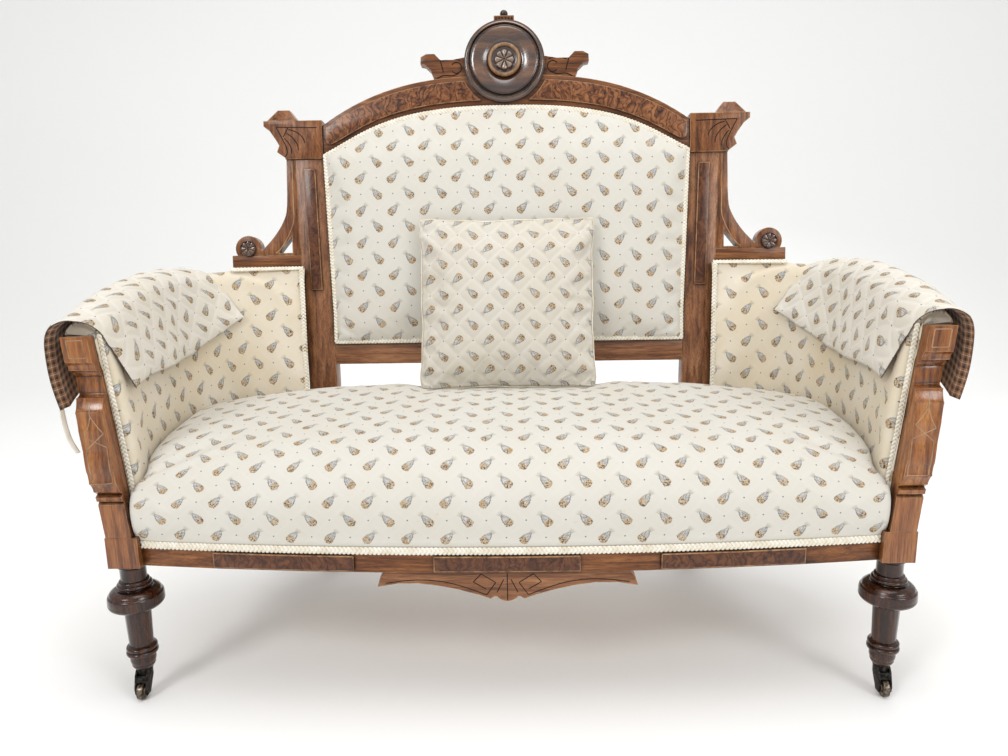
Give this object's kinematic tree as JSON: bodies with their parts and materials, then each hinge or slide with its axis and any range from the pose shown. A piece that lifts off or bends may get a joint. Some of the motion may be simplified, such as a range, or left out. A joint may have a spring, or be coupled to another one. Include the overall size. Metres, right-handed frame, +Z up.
{
  "type": "parlor loveseat",
  "caption": "Show-wood parlor loveseat with a raked medallion-crested back, rolled arms, sprung seat, loose arm covers, throw pillow and swivel casters.",
  "frame": {"origin": "on the floor, under the middle of the loveseat's outline", "axes": "+X to the right as one faces the loveseat, +Y to its back, +Z up"},
  "size_m": [1.3856, 0.5934, 1.1636],
  "materials": {
    "walnut": "oiled walnut show-wood with worn edges",
    "burl_veneer": "polished walnut burl veneer",
    "ebonised_walnut": "turned walnut stained near black, glossy",
    "oak_frame": "sawn hidden frame timber",
    "beech_dowel": "plain dowel rod",
    "foulard_cotton": "cream cotton printed with small sprigs",
    "quilted_cotton": "quilted cream cotton with a plaid wrong side",
    "gimp_braid": "woven cream gimp",
    "jute": "jute webbing and hessian",
    "spring_steel": "black annealed wire",
    "caster_iron": "aged dark iron",
    "caster_wheel": "worn pale composition wheel"
  },
  "bodies": {
    "frame": {"back_post_left": "walnut", "back_post_right": "walnut", "post_cap_left": "walnut", "post_cap_right": "walnut", "post_finials": "walnut", "crest_rail": "walnut", "lower_back_rail": "walnut", "crest_board": "walnut", "medallion_ring": "walnut", "medallion_rosette": "walnut", "crest_block": "walnut", "wing_rail_left": "walnut", "wing_rail_right": "walnut", "wing_bracket_left": "walnut", "wing_bracket_right": "walnut", "front_rail": "walnut", "apron": "walnut", "corner_blocks": "walnut", "arm_post_left": "walnut", "arm_post_right": "walnut", "arch_burl_panels": "burl_veneer", "post_burl_panels": "burl_veneer", "rail_burl_panels": "burl_veneer", "medallion": "ebonised_walnut", "crest_ball": "ebonised_walnut", "roundels": "ebonised_walnut", "front_leg_left": "ebonised_walnut", "front_leg_right": "ebonised_walnut", "side_rail_left": "oak_frame", "side_rail_right": "oak_frame", "rear_rail": "oak_frame", "corner_braces": "oak_frame", "arm_rails": "oak_frame", "dowels": "beech_dowel", "back_pad": "foulard_cotton", "outside_back": "foulard_cotton", "seat_pad": "foulard_cotton", "arm_pad_left": "foulard_cotton", "arm_pad_right": "foulard_cotton", "outside_arms": "foulard_cotton", "back_gimp": "gimp_braid", "seat_gimp": "gimp_braid", "arm_gimp": "gimp_braid", "back_webbing": "jute", "seat_webbing": "jute", "seat_hessian": "jute", "seat_springs": "spring_steel", "caster_stems": "caster_iron"},
    "caster_front_left": {"caster_horn_front_left": "caster_iron"},
    "wheel_front_left": {"caster_wheel_front_left": "caster_wheel"},
    "caster_front_right": {"caster_horn_front_right": "caster_iron"},
    "wheel_front_right": {"caster_wheel_front_right": "caster_wheel"},
    "caster_rear_left": {"caster_horn_rear_left": "caster_iron"},
    "wheel_rear_left": {"caster_wheel_rear_left": "caster_wheel"},
    "caster_rear_right": {"caster_horn_rear_right": "caster_iron"},
    "wheel_rear_right": {"caster_wheel_rear_right": "caster_wheel"},
    "pillow": {"throw_pillow": "foulard_cotton"},
    "cover_left": {"arm_cover_left": "quilted_cotton", "cover_tie_tape": "gimp_braid"},
    "cover_right": {"arm_cover_right": "quilted_cotton"}
  },
  "joints": [
    {"name": "swivel_front_left", "type": "hinge", "parent": "frame", "child": "caster_front_left", "pos_m": [-0.592, -0.24, 0.04], "axis": [0, 0, 1], "continuous": true},
    {"name": "roll_front_left", "type": "hinge", "parent": "caster_front_left", "child": "wheel_front_left", "pos_m": [-0.592, -0.254, 0.014], "axis": [1, 0, 0], "continuous": true},
    {"name": "swivel_front_right", "type": "hinge", "parent": "frame", "child": "caster_front_right", "pos_m": [0.592, -0.24, 0.04], "axis": [0, 0, 1], "continuous": true},
    {"name": "roll_front_right", "type": "hinge", "parent": "caster_front_right", "child": "wheel_front_right", "pos_m": [0.592, -0.254, 0.014], "axis": [1, 0, 0], "continuous": true},
    {"name": "swivel_rear_left", "type": "hinge", "parent": "frame", "child": "caster_rear_left", "pos_m": [-0.38175, 0.236, 0.04], "axis": [0, 0, 1], "continuous": true},
    {"name": "roll_rear_left", "type": "hinge", "parent": "caster_rear_left", "child": "wheel_rear_left", "pos_m": [-0.38175, 0.222, 0.014], "axis": [1, 0, 0], "continuous": true},
    {"name": "swivel_rear_right", "type": "hinge", "parent": "frame", "child": "caster_rear_right", "pos_m": [0.38175, 0.236, 0.04], "axis": [0, 0, 1], "continuous": true},
    {"name": "roll_rear_right", "type": "hinge", "parent": "caster_rear_right", "child": "wheel_rear_right", "pos_m": [0.38175, 0.222, 0.014], "axis": [1, 0, 0], "continuous": true},
    {"name": "pillow_lift", "type": "slide", "parent": "frame", "child": "pillow", "axis": [0, 0, 1], "range_m": [0, 0.25]},
    {"name": "cover_lift_left", "type": "slide", "parent": "frame", "child": "cover_left", "axis": [0, 0, 1], "range_m": [0, 0.2]},
    {"name": "cover_lift_right", "type": "slide", "parent": "frame", "child": "cover_right", "axis": [0, 0, 1], "range_m": [0, 0.2]}
  ]
}
